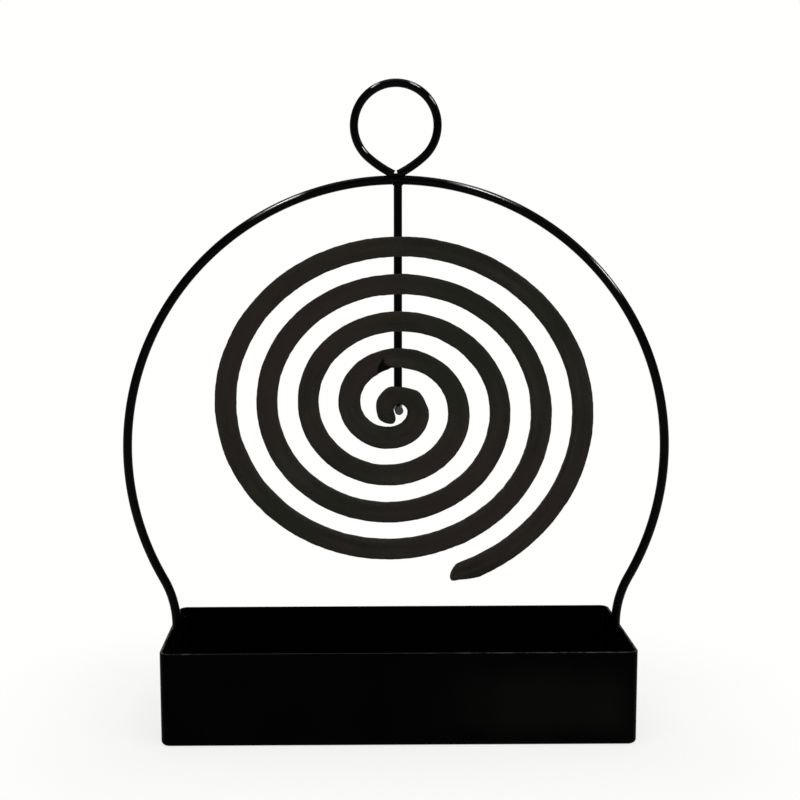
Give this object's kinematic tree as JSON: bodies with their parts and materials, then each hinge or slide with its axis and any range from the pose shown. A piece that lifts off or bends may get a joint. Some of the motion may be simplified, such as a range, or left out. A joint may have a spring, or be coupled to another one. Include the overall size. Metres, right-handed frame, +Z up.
{
  "type": "mosquito coil holder",
  "caption": "Black steel mosquito coil holder: open ash tray, round wire arch with a carrying ring, and a hook on which a spiral coil hangs over the tray.",
  "frame": {"origin": "on the table that the tray stands on, under the middle of the tray", "axes": "+Z up, +X to the right seen from the front, +Y away from the viewer; the prong and the coil's face point to -Y"},
  "size_m": [0.178, 0.05, 0.2087],
  "materials": {
    "black_coat": "satin black powder coat on steel",
    "coil_paste": "matt dark brown pressed plant powder"
  },
  "bodies": {
    "holder": {"tray_pan": "black_coat", "corner_welds": "black_coat", "arch_wire": "black_coat", "left_leg_welds": "black_coat", "right_leg_welds": "black_coat", "ring_loop": "black_coat", "ring_weld": "black_coat", "hook_rod": "black_coat", "rod_weld": "black_coat"},
    "coil": {"mosquito_coil": "coil_paste"}
  },
  "joints": [
    {"name": "coil_turn", "type": "hinge", "parent": "holder", "child": "coil", "pos_m": [0.00065, -0.00525, 0.104], "axis": [0, 1, 0], "continuous": true}
  ]
}
